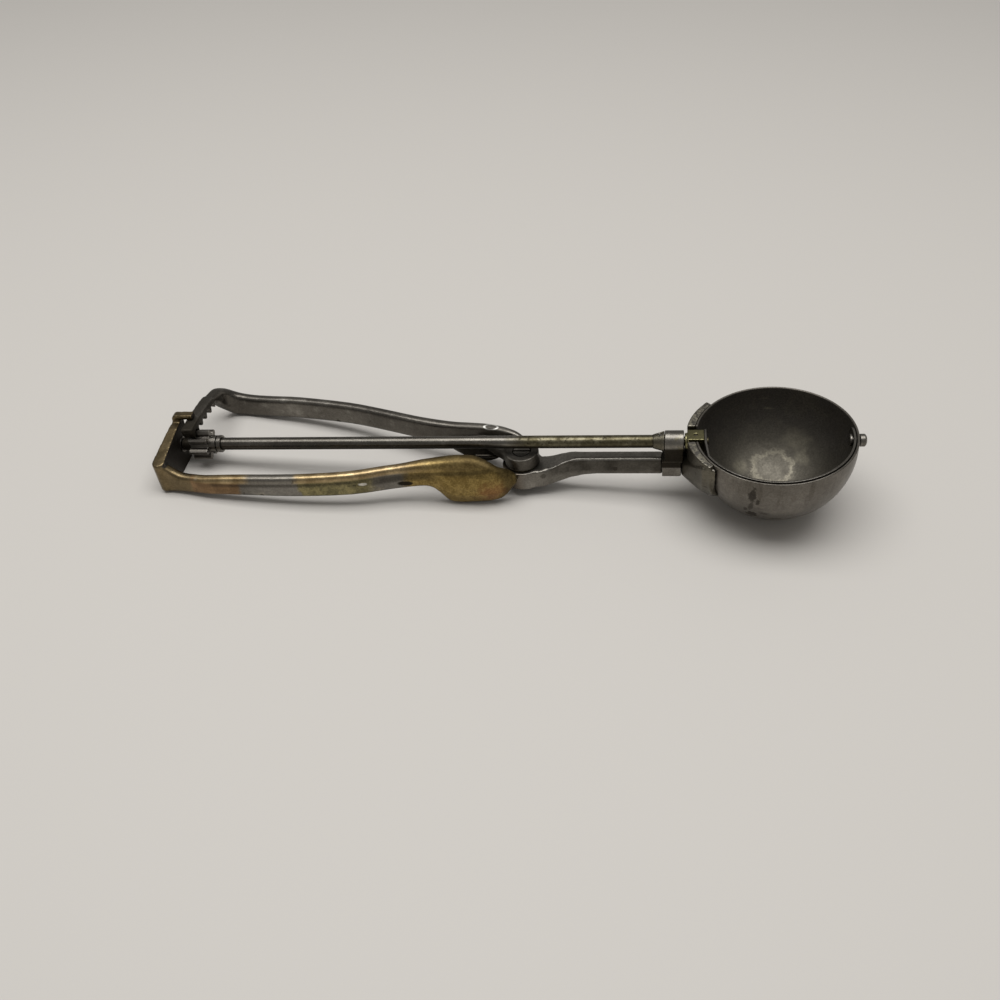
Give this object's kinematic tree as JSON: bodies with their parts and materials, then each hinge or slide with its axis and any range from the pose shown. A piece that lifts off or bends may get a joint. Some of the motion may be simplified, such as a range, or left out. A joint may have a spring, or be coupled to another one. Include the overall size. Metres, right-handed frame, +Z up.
{
  "type": "ice cream scoop",
  "caption": "Squeeze-handle ice cream scoop: a half-ball bowl whose scraper band is swept by a rod and pinion, driven by a curved rack on the lever grip.",
  "frame": {"origin": "the lowest point of the bowl, where it touches the table the scoop lies on", "axes": "+X along the drive rod seen from above, towards the front of the bowl; +Y towards the side of the lever grip; +Z up from the table, the way the bowl opens"},
  "size_m": [0.2616, 0.0616, 0.0354],
  "materials": {
    "bowl_metal": "worn dull nickel plate",
    "cast_metal": "worn dull nickel plate over a casting",
    "worn_brass": "tarnished brass with patches of nickel plate left",
    "grip_metal": "dull nickel plate",
    "rod_metal": "worn plated steel",
    "band_metal": "worn spring steel",
    "spring_steel": "dull wire",
    "steel": "dark worn steel",
    "brass": "greenish tarnished brass"
  },
  "bodies": {
    "frame": {"bowl": "bowl_metal", "saddle": "cast_metal", "neck": "cast_metal", "shank": "cast_metal", "fixed_grip": "worn_brass", "pivot_screw": "steel", "pivot_nut": "steel", "pivot_washer": "brass", "return_spring": "spring_steel", "front_pin": "steel"},
    "lever": {"lever_grip": "grip_metal"},
    "drive": {"drive_rod": "rod_metal", "pinion": "steel", "pinion_pin": "steel", "rear_collar": "steel", "thrust_washer": "brass", "front_collar": "cast_metal", "front_collar_pin": "steel", "scraper_hub": "brass", "hub_pin": "steel", "scraper_band": "band_metal"}
  },
  "joints": [
    {"name": "lever_squeeze", "type": "hinge", "parent": "frame", "child": "lever", "pos_m": [-0.09135, -0.00021, 0.01375], "axis": [-0.0892, 0.0317, 0.9955], "range_deg": [0, 6], "stiffness_Nm_per_rad": 1.2, "springref_deg": -20.05},
    {"name": "drive_turn", "type": "hinge", "parent": "frame", "child": "drive", "pos_m": [-0.11952, 0, 0.0178], "axis": [0.996, 0, 0.0892], "range_deg": [0, 171]}
  ],
  "couplings": [
    {"joint": "drive_turn", "follows": "lever_squeeze", "ratio": 28.33}
  ]
}
